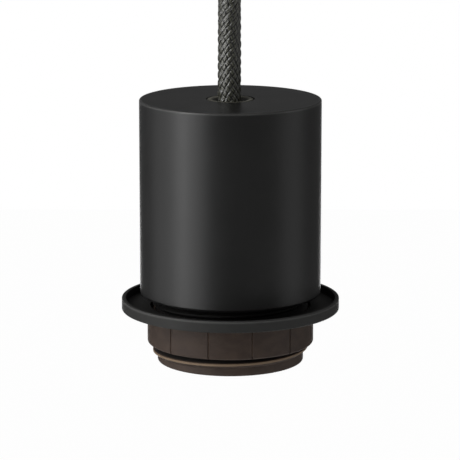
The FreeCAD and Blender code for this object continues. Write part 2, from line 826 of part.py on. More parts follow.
def make_neutral_terminal():
    """The neutral terminal, held by the sleeve's rivet that ends in its block."""
    body = new_body("neutral_terminal")
    add_terminal_block(body, -terminal_reach)
    sketch = new_sketch(body, "rivet_hole_circle", "XY_Plane", pocket_floor)
    draw_circle(sketch, terminal_rivet, rivet_hole)
    pocketed(body, "rivet_hole", sketch, size.rivet_in_terminal + size.screw_gap, Reversed=True)
    return body


def make_terminal_screws():
    """One clamp screw for each terminal, in from the front."""
    body = new_body("terminal_screws")
    inner = core_radius + size.core_gap
    face = size.terminal_width / 2
    for side, middle in (("live", terminal_reach), ("neutral", -terminal_reach)):
        sketch = new_sketch(body, side + "_shank_circle", "XZ_Plane", inner)
        draw_circle(sketch, (middle, clamp_height), size.clamp_screw_dia / 2)
        padded(body, side + "_shank", sketch, face - inner)
        sketch = new_sketch(body, side + "_head_circle", "XZ_Plane", face)
        draw_circle(sketch, (middle, clamp_height), size.clamp_head_dia / 2)
        padded(body, side + "_head", sketch, size.clamp_head_height)
    return body


def make_thread_sleeve():
    """The rolled E27 sleeve: a lip under the block, a formed thread and a wider plain mouth."""
    body = new_body("thread_sleeve")
    foot = block_under - size.sleeve_length
    under_lip = block_under - size.sleeve_wall
    lip = sleeve_bore - size.sleeve_lip
    mouth = sleeve_bore + size.mouth_widening
    mouth_outer = sleeve_outer + size.mouth_widening
    mouth_top = foot + size.sleeve_mouth
    step_top = mouth_top + size.sleeve_wall
    turned(
        body,
        "tube",
        [
            (lip, block_under),
            (sleeve_outer, block_under),
            (sleeve_outer, step_top),
            (mouth_outer, step_top),
            (mouth_outer, foot),
            (mouth, foot),
            (mouth, mouth_top),
            (sleeve_bore, mouth_top),
            (sleeve_bore, under_lip),
            (lip, under_lip),
        ],
    )
    crest = sleeve_bore - size.sleeve_thread_depth
    start = mouth_top + size.mouth_margin + size.sleeve_ridge / 2
    climb = size.sleeve_pitch * size.sleeve_turns
    half_foot = size.sleeve_ridge / 2
    half_crest = size.sleeve_land / 2
    inward = ridge(sleeve_bore, crest, half_foot, half_crest, -size.sleeve_wall / 2, start)
    threaded(body, "ridge", inward, size.sleeve_pitch, climb)
    inset = size.sleeve_wall / 2
    hollow_crest = crest + size.sleeve_wall
    hollow = ridge(sleeve_outer, hollow_crest, half_foot - inset, half_crest - inset, -inset, start)
    threaded(body, "hollow", hollow, size.sleeve_pitch, climb, "PartDesign::SubtractiveHelix")
    bored(body, "rivet_holes", all_rivets, rivet_hole, block_under, size.sleeve_wall)
    return body


def make_sleeve_rivets():
    """Three rivets through the sleeve's lip and the block, one of them into the terminal."""
    body = new_body("sleeve_rivets")
    head = size.rivet_head_dia / 2
    shank = size.rivet_dia / 2
    under_lip = block_under - size.sleeve_wall
    through = size.block_thick + size.sleeve_wall
    to_terminal = through - size.pocket_depth + size.rivet_in_terminal
    crown = size.rivet_head_height
    add_round_bars(body, "lower_heads", all_rivets, head, under_lip - crown, crown)
    add_round_bars(body, "terminal_shank", [terminal_rivet], shank, under_lip, to_terminal)
    add_round_bars(body, "shanks", other_rivets, shank, under_lip, through)
    add_round_bars(body, "upper_heads", other_rivets, head, -size.block_top, crown)
    return body


# ---- the sprung centre contact ----

button_top = block_under - size.spring_height
strap_top = pocket_floor + size.strap_thick


def make_centre_contact():
    """The button, its stem through the block and the flange that rests on the live strap."""
    body = new_body("centre_contact")
    stem = size.pin_dia / 2
    flange = size.pin_flange_dia / 2
    button = size.button_dia / 2
    face = button_top - size.button_thick
    flange_top = strap_top + size.pin_flange_thick
    turned(
        body,
        "contact",
        [
            (0, face),
            (button, face),
            (button, button_top),
            (stem, button_top),
            (stem, strap_top),
            (flange, strap_top),
            (flange, flange_top),
            (0, flange_top),
        ],
    )
    rounded(body, "face", size.button_round, (button, face))
    return body


def make_contact_spring():
    """The coil spring between the button and the block."""
    body = new_body("contact_spring")
    wire = size.spring_wire / 2
    coil = size.pin_dia / 2 + size.spring_gap + wire
    climb = size.spring_height - size.spring_wire
    sketch = new_sketch(body, "wire_circle", "XZ_Plane")
    draw_circle(sketch, (coil, button_top + wire), wire)
    feature_of(
        body,
        "PartDesign::AdditiveHelix",
        "coil",
        sketch,
        ReferenceAxis=(sketch, ["V_Axis"]),
        Mode="pitch-height-angle",
        Pitch=climb / size.spring_turns,
        Height=climb,
        LeftHanded=False,
        Reversed=False,
    )
    return body


# ---- the ceiling fitting, drawn below the ceiling ----

CEILING = 0
ceiling_inner = size.ceiling_cup_dia / 2 - size.ceiling_cup_wall
ear_sagitta = size.bracket_width * size.bracket_width / (8 * ceiling_inner)
ear_face = ceiling_inner - size.bracket_gap - ear_sagitta
screw_drop = -size.side_screw_drop
way_height = -size.bracket_thick - size.connector_way_drop
connector_far = size.connector_near + size.connector_depth
connector_middle = size.connector_near + size.connector_depth / 2
connector_foot = -size.bracket_thick - size.connector_height
way_places = [-size.connector_pitch, 0, size.connector_pitch]
bolt_places = [-size.connector_pitch / 2, size.connector_pitch / 2]
connector_bolts = [(place, connector_middle) for place in bolt_places]
clamp_places = [(place, connector_middle) for place in way_places]


def make_ceiling_bracket():
    """A strip with bent ears for the side screws and a wing for the connector block."""
    body = new_body("ceiling_bracket")
    half = size.bracket_width / 2
    under = -size.bracket_thick
    sketch = new_sketch(body, "strip_outline", "XY_Plane", under)
    draw_box(sketch, (-ear_face, -half), (ear_face, half))
    padded(body, "strip", sketch, size.bracket_thick)
    sketch = new_sketch(body, "wing_outline", "XY_Plane", under)
    wing = size.connector_width / 2 + size.wing_margin
    draw_box(sketch, (-wing, 0), (wing, connector_far + size.wing_past_block))
    padded(body, "wing", sketch, size.bracket_thick)
    ear_height = size.side_screw_drop + size.ear_past_screw
    sketch = new_sketch(body, "ear_outline", "XY_Plane", -ear_height)
    draw_box(sketch, (ear_face - size.bracket_thick, -half), (ear_face, half))
    draw_box(sketch, (-ear_face, -half), (size.bracket_thick - ear_face, half))
    padded(body, "ears", sketch, ear_height)
    sketch = new_sketch(body, "ear_hole_circle", "YZ_Plane", -ear_face)
    draw_circle(sketch, (0, screw_drop), size.side_screw_dia / 2 + size.screw_gap)
    pocketed(body, "ear_holes", sketch, ear_face * 2, Reversed=True)
    pitch = size.ceiling_hole_pitch / 2
    ceiling_hole = size.ceiling_hole_dia / 2
    bored(body, "ceiling_holes", [(pitch, 0), (-pitch, 0)], ceiling_hole, CEILING, size.bracket_thick)
    bolt = size.connector_bolt_dia / 2 + size.screw_gap
    bored(body, "connector_holes", connector_bolts, bolt, CEILING, size.bracket_thick)
    return body


def make_side_screws():
    """Two slotted screws through the ceiling cup into the bracket's ears."""
    body = new_body("ceiling_side_screws")
    shank = size.side_screw_dia / 2
    head = size.side_head_dia / 2
    face = size.ceiling_cup_dia / 2
    tail = face - size.side_screw_length
    crown = face + size.side_head_height
    outline = [(tail, 0), (crown, 0), (crown, head), (face, head), (face, shank), (tail, shank)]
    screw = turned_along(body, "screw", outline, screw_drop)
    sketch = new_sketch(body, "slot_outline", "YZ_Plane", crown)
    half = size.slot_width / 2
    draw_box(sketch, (-head * 2, screw_drop - half), (head * 2, screw_drop + half))
    slot = pocketed(body, "slot", sketch, size.slot_depth)
    repeated_round(body, "pair", [screw, slot], 2)
    return body


def make_connector_block():
    """A three-way screw connector under the bracket's wing."""
    body = new_body("connector_block")
    half = size.connector_width / 2
    sketch = new_sketch(body, "foot_outline", "XY_Plane", connector_foot)
    draw_box(sketch, (-half, size.connector_near), (half, connector_far))
    padded(body, "block", sketch, size.connector_height)
    sketch = new_sketch(body, "way_circles", "XZ_Plane", -connector_far)
    for place in way_places:
        draw_circle(sketch, (place, way_height), core_radius + size.core_gap)
    pocketed(body, "wire_ways", sketch, size.connector_depth, Reversed=True)
    sketch = new_sketch(body, "clamp_circles", "XY_Plane", connector_foot)
    for centre in clamp_places:
        draw_circle(sketch, centre, size.clamp_screw_dia / 2 + size.screw_gap)
    pocketed(body, "clamp_holes", sketch, way_height - connector_foot, Reversed=True)
    bolt = size.connector_bolt_dia / 2 + size.screw_gap
    bored(body, "bolt_holes", connector_bolts, bolt, -size.bracket_thick, size.connector_height)
    return body


def make_connector_clamps():
    """The three clamp screws of the connector block."""
    body = new_body("connector_clamp_screws")
    low = connector_foot + size.clamp_sunk
    reach = way_height - core_radius - size.core_gap - low
    add_round_bars(body, "shanks", clamp_places, size.clamp_screw_dia / 2, low, reach)
    return body


def make_connector_bolts():
    """The two screws that hold the connector block to the wing."""
    body = new_body("connector_fixing_screws")
    head = size.clamp_head_height
    shank = size.connector_bolt_dia / 2
    add_round_bars(body, "heads", connector_bolts, size.clamp_head_dia / 2, connector_foot - head, head)
    length = size.connector_height + size.bracket_thick
    add_round_bars(body, "shanks", connector_bolts, shank, connector_foot, length)
    return body


# ---- the cable and its cores ----

cable_top = CEILING_CUP_FACE + size.grip_length + size.cable_tail
cable_foot = HOLDER_TOP + cable_end
lower_turn = cable_foot - size.core_bend - size.core_slack
core_ends = {
    "terminal": HOLDER_TOP + pocket_floor + size.terminal_height - size.wire_hole_depth + size.core_slack,
    "earth": HOLDER_TOP + tag_under - size.clamp_head_height - size.core_gap,
}


def make_cable():
    """The braided sheath, straight from the ceiling cup to the holder."""
    body = new_body("cable")
    sketch = new_sketch(body, "sheath_circles", "XY_Plane", cable_foot)
    draw_circle(sketch, (cable_offset, 0), cable_radius)
    draw_circle(sketch, (cable_offset, 0), sheath_bore)
    padded(body, "sheath", sketch, cable_top - cable_foot)
    return body


def bent_path(points, bend):
    """A wire of straight runs with a tangent arc at each corner."""
    edges = []
    start = points[0]
    for corner, following in zip(points[1:-1], points[2:]):
        into = (corner - start).normalize()
        out = (following - corner).normalize()
        turn = into.getAngle(out)
        reach = bend * math.tan(turn / 2)
        first = corner - into * reach
        last = corner + out * reach
        towards = (out - into).normalize()
        middle = corner + towards * bend * (1 / math.cos(turn / 2) - 1)
        edges.append(Part.LineSegment(start, first).toShape())
        edges.append(Part.Arc(first, middle, last).toShape())
        start = last
    edges.append(Part.LineSegment(start, points[-1]).toShape())
    return Part.Wire(edges)


def core_place(turn):
    """Where a core stands in the cable, seen from above."""
    angle = math.radians(turn)
    return core_offset * math.cos(angle) + cable_offset, core_offset * math.sin(angle)


def make_core(name, turn, lower_end, way, upper_turn=None):
    """An insulated core, from its terminal, up inside the cable, to the connector block."""
    x, y = core_place(turn)
    end_x, end_y, end_height = lower_end
    route = [
        vector(end_x, end_y, end_height),
        vector(end_x, end_y, lower_turn),
        vector(x, y, lower_turn),
        vector(x, y, way_height),
        vector(way, y if upper_turn is None else upper_turn, way_height),
        vector(way, connector_middle + size.clamp_screw_dia, way_height),
    ]
    path = bent_path(route, size.core_bend.value)
    first = path.Edges[0]
    circle = Part.Circle(route[0], first.tangentAt(first.FirstParameter), core_radius.value)
    core = doc.addObject("Part::Feature", name)
    core.Label = name
    core.Shape = path.makePipeShell([Part.Wire(circle.toShape())], True, True)
    return core


def make_cores():
    """The live, neutral and earth cores, a third of a turn apart in the cable."""
    third = 360 / 3
    pitch = size.connector_pitch
    wire_end = core_ends["terminal"]
    bend_at = size.connector_near - size.core_bend
    return [
        make_core("live_core", 0, (terminal_reach, 0, wire_end), pitch),
        make_core("neutral_core", third, (-terminal_reach, 0, wire_end), 0, bend_at),
        make_core("earth_core", third * 2, (0, -earth_screw_reach, core_ends["earth"]), -pitch),
    ]


# ---- the whole lamp holder ----


def make_pieces():
    """Makes every piece in its place."""
    at_holder = [
        make_metal_cup(),
        make_grip_collar("grip_collar"),
        make_grip_screw("grip_screw"),
        make_threaded_tube(),
        make_lock_nut(),
        make_earth_tag(),
        make_earth_screw(),
        make_holder_cap(),
        make_outer_shell(),
        make_fluted_ring(),
        make_dished_ring(),
        make_contact_block(),
        make_live_terminal(),
        make_neutral_terminal(),
        make_terminal_screws(),
        make_thread_sleeve(),
        make_sleeve_rivets(),
        make_centre_contact(),
        make_contact_spring(),
    ]
    at_ceiling_cup = [
        make_ceiling_cup(),
        make_grip_collar("ceiling_grip_collar"),
        make_grip_screw("ceiling_grip_screw"),
    ]
    in_place = [
        make_ceiling_bracket(),
        make_side_screws(),
        make_connector_block(),
        make_connector_clamps(),
        make_connector_bolts(),
        make_cable(),
    ]
    for body in at_holder:
        hang(body, HOLDER_TOP)
    for body in at_ceiling_cup:
        hang(body, CEILING_CUP_FACE, True)
    return at_holder + at_ceiling_cup + in_place + make_cores()


def check_document(pieces):
    """Stops where any object has failed or a piece is empty or broken."""
    doc.recompute()
    for item in doc.Objects:
        if "Invalid" in item.State or "Error" in item.State:
            raise RuntimeError(f"{item.Label} has failed: {item.State}")
    for piece in pieces:
        if piece.Shape.isNull() or not piece.Shape.isValid():
            raise RuntimeError(f"{piece.Label} is empty or broken")


def write_pieces(pieces):
    os.makedirs("parts", exist_ok=True)
    for piece in pieces:
        piece.Shape.exportStep(f"parts/{piece.Label}.step")
        print(f"{piece.Label}: {len(piece.Shape.Solids)} solids, {piece.Shape.Volume:.1f} mm3")


made = make_pieces()
check_document(made)
write_pieces(made)
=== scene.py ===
import math

import bpy
import numpy as np
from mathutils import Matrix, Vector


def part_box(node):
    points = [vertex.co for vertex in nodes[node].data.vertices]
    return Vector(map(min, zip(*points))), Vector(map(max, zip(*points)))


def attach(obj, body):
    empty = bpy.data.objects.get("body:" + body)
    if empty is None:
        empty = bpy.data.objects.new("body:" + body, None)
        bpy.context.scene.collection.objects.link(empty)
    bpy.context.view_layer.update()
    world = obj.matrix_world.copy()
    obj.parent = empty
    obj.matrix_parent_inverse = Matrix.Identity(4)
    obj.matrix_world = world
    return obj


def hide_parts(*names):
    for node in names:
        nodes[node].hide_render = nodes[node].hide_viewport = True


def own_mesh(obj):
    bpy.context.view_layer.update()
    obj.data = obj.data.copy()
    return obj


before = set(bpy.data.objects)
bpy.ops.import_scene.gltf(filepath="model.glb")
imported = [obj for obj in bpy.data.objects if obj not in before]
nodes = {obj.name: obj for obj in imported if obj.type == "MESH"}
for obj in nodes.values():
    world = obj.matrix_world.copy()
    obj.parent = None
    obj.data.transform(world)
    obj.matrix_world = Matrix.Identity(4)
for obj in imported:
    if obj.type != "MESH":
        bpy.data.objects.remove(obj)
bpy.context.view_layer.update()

MM = 0.001
TURN = 2 * math.pi


# ---- camera ----

CAMERA_DIP = math.radians(11.84)


def stand_camera():
    """A long lens, a little above the metal cup and straight in front of it."""
    lens = bpy.data.cameras.new("camera")
    lens.lens = 216.7
    lens.sensor_width = 36.0
    lens.clip_start = 0.01
    lens.clip_end = 50.0
    camera = bpy.data.objects.new("camera", lens)
    camera.location = (-0.0001, -0.6885, 0.0506)
    camera.rotation_euler = (math.pi / 2 - CAMERA_DIP, 0, 0)
    bpy.context.scene.collection.objects.link(camera)
    bpy.context.scene.camera = camera


stand_camera()


# ---- meshes ----


def piece_from(name, points, faces, smooth=True):
    """A mesh object from arrays of points and faces."""
    mesh = bpy.data.meshes.new(name)
    mesh.from_pydata([tuple(point) for point in points], [], [tuple(face) for face in faces])
    mesh.polygons.foreach_set("use_smooth", [smooth] * len(mesh.polygons))
    mesh.update()
    piece = bpy.data.objects.new(name, mesh)
    bpy.context.scene.collection.objects.link(piece)
    return piece


def route_points(name, controls, resolution=12):
    """The points of a smooth NURBS line through the air, led by its controls."""
    line = bpy.data.curves.new(name, "CURVE")
    line.dimensions = "3D"
    line.resolution_u = resolution
    spline = line.splines.new("NURBS")
    spline.points.add(len(controls) - 1)
    for point, control in zip(spline.points, controls):
        point.co = (*control, 1)
    spline.order_u = 3
    spline.use_endpoint_u = True
    holder = bpy.data.objects.new(name, line)
    bpy.context.scene.collection.objects.link(holder)
    mesh = bpy.data.meshes.new_from_object(holder)
    points = np.array([tuple(vertex.co) for vertex in mesh.vertices])
    bpy.data.objects.remove(holder)
    bpy.data.curves.remove(line)
    bpy.data.meshes.remove(mesh)
    return points


def stations_along(path, lengths):
    """Places and directions at the given lengths along a path."""
    steps = np.diff(path, axis=0)
    sizes = np.linalg.norm(steps, axis=1)
    reached = np.concatenate([[0], np.cumsum(sizes)])
    places = np.stack([np.interp(lengths, reached, path[:, axis]) for axis in range(3)], axis=1)
    index = np.clip(np.searchsorted(reached, lengths, side="right") - 1, 0, len(steps) - 1)
    return places, steps[index] / sizes[index][:, None]


def frames_for(directions, first_side):
    """Two directions square to the line at each station, carried along without twist."""
    sides = []
    side = np.array(first_side, float)
    for direction in directions:
        side = side - direction * (side @ direction)
        side = side / np.linalg.norm(side)
        sides.append(side)
    sides = np.array(sides)
    return sides, np.cross(directions, sides)


def tube_from(name, places, sides, ups, radii):
    """A round skin with its own radius at every point, closed at both ends by its middle points."""
    rings, around = radii.shape
    angles = np.arange(around) * TURN / around
    points = (
        places[:, None, :]
        + radii[:, :, None] * np.cos(angles)[None, :, None] * sides[:, None, :]
        + radii[:, :, None] * np.sin(angles)[None, :, None] * ups[:, None, :]
    ).reshape(-1, 3)
    start = np.arange(rings - 1)[:, None] * around
    here = np.arange(around)[None, :]
    after = (here + 1) % around
    above = start + around
    faces = np.stack([start + here, start + after, above + after, above + here], axis=2)
    faces = [tuple(face) for face in faces.reshape(-1, 4)]
    low, high = len(points), len(points) + 1
    points = np.concatenate([points, places[:1], places[-1:]])
    last = (rings - 1) * around
    for step in range(around):
        following = (step + 1) % around
        faces.append((low, following, step))
        faces.append((high, last + step, last + following))
    return piece_from(name, points, faces)


# ---- the cable and its braid ----

CABLE_AXIS = -0.23 * MM
CABLE_FOOT = (CABLE_AXIS, 0, -82.4 * MM)
CABLE_MIDDLE = (CABLE_AXIS, 0, -45.2 * MM)
CABLE_TOP = (CABLE_AXIS, 0, -8.0 * MM)
CABLE_EXIT = -60.0 * MM
CABLE_RADIUS = 2.85 * MM

# Points round each ring of the mesh, and the steps between rings where it shows and where it doesn't.
CABLE_AROUND = 144
FINE_STEP = 0.13 * MM
WIDE_STEP = 0.55 * MM

# Strands in each family and their repeat along the cable, then a strand's bulge, weave and lean.
BRAID_STRANDS = 12
BRAID_REPEAT = 2.2 * MM
BRAID_CROWN = 0.26 * MM
STRAND_ROUNDNESS = 0.96
BRAID_WAVE = 0.1 * MM
BRAID_LEAN = 0.1 * MM
SEAM_TURN = 0.1

# The braid creeps round the cable on both sides of this height.
SWAY_HEIGHT = -54.0 * MM
SWAY_LENGTH = 8.0 * MM
SWAY_TURN = 0.9


def braid_sway(height):
    """How far the braid has crept round the cable at a height, in radians."""
    away = (height - SWAY_HEIGHT) / SWAY_LENGTH
    return SWAY_TURN * (np.sqrt(1 + away * away) - 1)


def braid_radius(angle, height):
    """The radius of the braid: two families of flat strands, each over and under the other.

    The right family rides higher on one side of the cable and the left family on the other, so
    they change places at two seams.
    """
    round_place = BRAID_STRANDS * (angle - braid_sway(height)) / TURN
    rise = height / BRAID_REPEAT
    right, left = round_place + rise, round_place - rise
    over_right = np.sin(np.pi * right) * np.sin(np.pi * left)
    right_across = 2 * (right - np.floor(right)) - 1
    left_across = 2 * (left - np.floor(left)) - 1
    right_top = BRAID_CROWN * np.sqrt(1 - STRAND_ROUNDNESS * right_across**2)
    left_top = BRAID_CROWN * np.sqrt(1 - STRAND_ROUNDNESS * left_across**2)
    wave = np.sign(over_right) * np.sqrt(np.abs(over_right)) * BRAID_WAVE
    lean = BRAID_LEAN * np.cos(angle - braid_sway(height) - SEAM_TURN)
    right_height, left_height = right_top + wave + lean, left_top - wave - lean
    blend = 0.02 * MM
    top = blend * np.logaddexp(right_height / blend, left_height / blend)
    return CABLE_RADIUS + top - BRAID_CROWN - BRAID_WAVE * 0.6


def make_cable():
    """The braided cable: fine rings where it shows, wider ones inside the cups."""
    path = route_points("cable_route", [CABLE_FOOT, CABLE_MIDDLE, CABLE_TOP])
    foot = CABLE_FOOT[2]
    whole = CABLE_TOP[2] - foot
    seen_from = CABLE_EXIT - 2 * MM - foot
    seen_to = whole - 12 * MM
    lengths = np.concatenate(
        [
            np.arange(0, seen_from, WIDE_STEP),
            np.arange(seen_from, seen_to, FINE_STEP),
            np.arange(seen_to, whole, WIDE_STEP),
            [whole],
        ]
    )
    places, directions = stations_along(path, lengths)
    sides, ups = frames_for(directions, (1, 0, 0))
    angles = np.arange(CABLE_AROUND) * TURN / CABLE_AROUND
    radii = braid_radius(angles[None, :], places[:, 2][:, None])
    hidden = (lengths < seen_from) | (lengths > seen_to)
    radii[hidden] = np.minimum(radii[hidden], CABLE_RADIUS)
    return tube_from("braided_cable", places, sides, ups, radii), path


cable, cable_path = make_cable()
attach(cable, "holder")
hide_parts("cable")


# ---- the spring under the contact block ----

SPRING_TOP = -102.0 * MM
SPRING_HEIGHT = 3.6 * MM
SPRING_TURNS = 5.0
CLOSED_TURNS = 0.9
COIL_RADIUS = 2.75 * MM
WIRE_RADIUS = 0.25 * MM


def make_spring():
    """A coil with its last turns lying flat at both ends."""
    rings, around = 320, 12
    share = np.linspace(0, 1, rings)
    closed = CLOSED_TURNS / SPRING_TURNS
    climb = np.clip((share - closed) / (1 - 2 * closed), 0, 1)
    climb = climb * climb * (3 - 2 * climb) * 0.25 + climb * 0.75
    lowest_turn = np.clip(share / closed, 0, 1)
    highest_turn = np.clip((share - 1) / closed + 1, 0, 1)
    free = SPRING_HEIGHT - 6 * WIRE_RADIUS
    lift = WIRE_RADIUS + free * climb + 2 * WIRE_RADIUS * (lowest_turn + highest_turn)
    angle = share * SPRING_TURNS * TURN
    height = SPRING_TOP - SPRING_HEIGHT + lift
    places = np.stack([COIL_RADIUS * np.cos(angle), COIL_RADIUS * np.sin(angle), height], axis=1)
    directions = np.gradient(places, axis=0)
    directions = directions / np.linalg.norm(directions, axis=1)[:, None]
    sides, ups = frames_for(directions, (1, 0, 0.01))
    radii = np.full((rings, around), WIRE_RADIUS)
    return tube_from("contact_coil_spring", places, sides, ups, radii)


spring = make_spring()
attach(spring, "holder")
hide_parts("contact_spring")
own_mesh(spring)


# ---- shader arithmetic ----


class Value:
    """A socket of a material's nodes that Python arithmetic adds nodes to."""

    def __init__(self, finish, socket):
        self.finish = finish
        self.socket = socket

    def maths(self, operation, *values):
        """Adds a Math node."""
        return self.finish.add("ShaderNodeMath", {"operation": operation}, dict(enumerate(values)))

    def __add__(self, other):
        return self.maths("ADD", self, other)

    def __radd__(self, other):
        return self.maths("ADD", other, self)

    def __sub__(self, other):
        return self.maths("SUBTRACT", self, other)

    def __rsub__(self, other):
        return self.maths("SUBTRACT", other, self)

    def __mul__(self, other):
        return self.maths("MULTIPLY", self, other)

    def __rmul__(self, other):
        return self.maths("MULTIPLY", other, self)

    def __truediv__(self, other):
        return self.maths("DIVIDE", self, other)

    def __pow__(self, other):
        return self.maths("POWER", self, other)

    def sine(self):
        return self.maths("SINE", self)

    def size(self):
        return self.maths("ABSOLUTE", self)

    def fraction(self):
        return self.maths("FRACT", self)

    def bearing(self, across):
        """The angle round the origin of the point (across, this value), in radians."""
        return self.maths("ARCTAN2", self, across)

    def at_most(self, other):
        return self.maths("MINIMUM", self, other)

    def at_least(self, other):
        return self.maths("MAXIMUM", self, other)

    def between(self, low, high):
        """0 below low, 1 above high, and a smooth step between them."""
        settings = {"interpolation_type": "SMOOTHSTEP"}
        sockets = {"Value": self, "From Min": low, "From Max": high}
        return self.finish.add("ShaderNodeMapRange", settings, sockets, "Result")


class Finish:
    """A material and the nodes that are added to it."""

    def __init__(self, name, world=None):
        self.owner = world or bpy.data.materials.new(name)
        self.owner.use_nodes = True
        self.tree = self.owner.node_tree
        self.tree.nodes.clear()

    def add(self, kind, settings=None, sockets=None, output=0):
        """Adds a node: its settings first, then the values or links of its sockets."""
        node = self.tree.nodes.new(kind)
        for key, value in (settings or {}).items():
            setattr(node, key, value)
        for key, value in (sockets or {}).items():
            socket = node.inputs[key]
            if isinstance(value, Value):
                self.tree.links.new(value.socket, socket)
            else:
                socket.default_value = value
        return Value(self, node.outputs[output]) if node.outputs else None

    def place(self):
        """The place on the piece, in metres."""
        return self.add("ShaderNodeTexCoord", output="Object")

    def axes(self, place):
        """The three numbers of a place, each on its own."""
        split = self.add("ShaderNodeSeparateXYZ", None, {0: place})
        outputs = split.socket.node.outputs
        return [Value(self, output) for output in outputs]

    def round_axis(self, place):
        """Distance from the upright axis, and height."""
        x, y, z = self.axes(place)
        return (x * x + y * y) ** 0.5, z

    def noise(self, place, scale, detail=3.0, roughness=0.55):
        sockets = {"Vector": place, "Scale": scale, "Detail": detail, "Roughness": roughness}
        return self.add("ShaderNodeTexNoise", None, sockets, "Fac")

    def stretched(self, place, x, y, z):
        """A place multiplied along each axis, which draws a noise out or packs it closer."""
        return self.add("ShaderNodeVectorMath", {"operation": "MULTIPLY"}, {0: place, 1: (x, y, z)})

    def mixed(self, factor, first, second):
        """A colour between two colours."""
        settings = {"data_type": "RGBA", "clamp_factor": True}
        sockets = {0: factor, 6: first, 7: second}
        return self.add("ShaderNodeMix", settings, sockets, 2)

    def bump(self, height, distance, strength=1.0):
        sockets = {"Height": height, "Distance": distance, "Strength": strength}
        return self.add("ShaderNodeBump", None, sockets)

    def surface(self, **sockets):
        """The last shader, with sockets named as words joined by underscores."""
        named = {}
        for key, value in sockets.items():
            named[key.replace("_", " ").title().replace("Ior", "IOR")] = value
        shader = self.add("ShaderNodeBsdfPrincipled", None, named)
        self.add("ShaderNodeOutputMaterial", None, {"Surface": shader})
        return self.owner


def linear(level):
    """A screen level, 0 to 255, as an amount of light."""
    level = level / 255
    return level / 12.92 if level <= 0.04045 else ((level + 0.055) / 1.055) ** 2.4


def tint(red, green, blue):
    """A colour from its three screen levels, 0 to 255."""
    return (linear(red), linear(green), linear(blue), 1.0)


# ---- finishes ----

RING_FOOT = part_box("shade_ring")[0][2]
DISH_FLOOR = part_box("dished_ring")[0][2] + 0.95 * MM


def black_lacquer(
    name, corner, dark=(20, 20, 20), light=(26, 26, 26), corner_highlight=(68, 68, 67), rough=0.4, shine=0.5
):
    """Satin black powder coat: fine grain, faint clouds, and a painted highlight along its round
    corner, mottled like rubbed wear.
    """
    finish = Finish(name)
    place = finish.place()
    grain = finish.noise(place, 5200.0, 2.0)
    skin = finish.noise(place, 900.0, 3.0)
    cloud = finish.noise(place, 60.0, 2.0)
    colour = finish.mixed(cloud.between(0.3, 0.7) * 0.6 + grain * 0.3, tint(*dark), tint(*light))
    radius, height = finish.round_axis(place)
    away = ((radius - corner[0]) ** 2.0 + (height - corner[1]) ** 2.0) ** 0.5
    # Painted highlight: the round corner is painted paler, mottled like rubbed wear.
    painted_highlight = (1 - away.between(0.3 * MM, 0.75 * MM)) * (0.7 + skin * 0.6)
    colour = finish.mixed(painted_highlight, colour, tint(*corner_highlight))
    roughness = rough + (cloud - 0.5) * 0.08 + (grain - 0.5) * 0.1 - painted_highlight * 0.08
    normal = finish.bump(grain * 0.6 + skin, 0.012 * MM, 0.5)
    return finish.surface(
        base_color=colour, roughness=roughness, normal=normal, specular_ior_level=shine
    )


def black_nylon():
    """Moulded nylon, a little paler than the lacquer, with a drawn satin face and a painted highlight
    on the lip round its bore.
    """
    finish = Finish("black_moulded_nylon")
    place = finish.place()
    grain = finish.noise(place, 3000.0, 3.0)
    flow = finish.noise(finish.stretched(place, 1.0, 1.0, 0.2), 350.0, 2.0)
    colour = finish.mixed(flow, tint(52, 52, 46), tint(68, 68, 60))
    radius, _ = finish.round_axis(place)
    # Painted highlight: a pale band on the rounded lip round the bore.
    painted_lip_highlight = radius.between(4.3 * MM, 4.8 * MM) * (1 - radius.between(5.4 * MM, 5.9 * MM))
    colour = finish.mixed(painted_lip_highlight * (0.6 + flow * 0.6), colour, tint(128, 126, 113))
    roughness = 0.5 + (flow - 0.5) * 0.2 + (grain - 0.5) * 0.1
    normal = finish.bump(grain, 0.015 * MM, 0.5)
    return finish.surface(base_color=colour, roughness=roughness, normal=normal)


